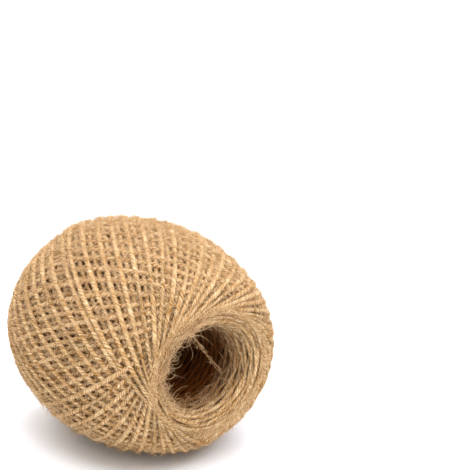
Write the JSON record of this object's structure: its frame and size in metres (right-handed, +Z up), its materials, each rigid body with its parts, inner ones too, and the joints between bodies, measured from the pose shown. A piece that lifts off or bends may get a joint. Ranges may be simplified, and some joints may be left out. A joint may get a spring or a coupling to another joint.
{
  "type": "ball of twine",
  "caption": "Soft ball of natural jute twine, cross-wound round an open core hole, lying on its side on a small flat spot.",
  "frame": {"origin": "middle of the bottom of the ball's box, on the flat spot it rests on", "axes": "+Z up, from the flat spot to the top; the core hole runs along Y, and the mouth that the picture shows faces -Y; X runs across the hole, level with the ground"},
  "size_m": [0.0998, 0.098, 0.0904],
  "materials": {
    "jute_twine": "natural, undyed, dry and matt with loose fibres"
  },
  "bodies": {
    "root": {"twine_ball": "jute_twine"}
  },
  "joints": []
}
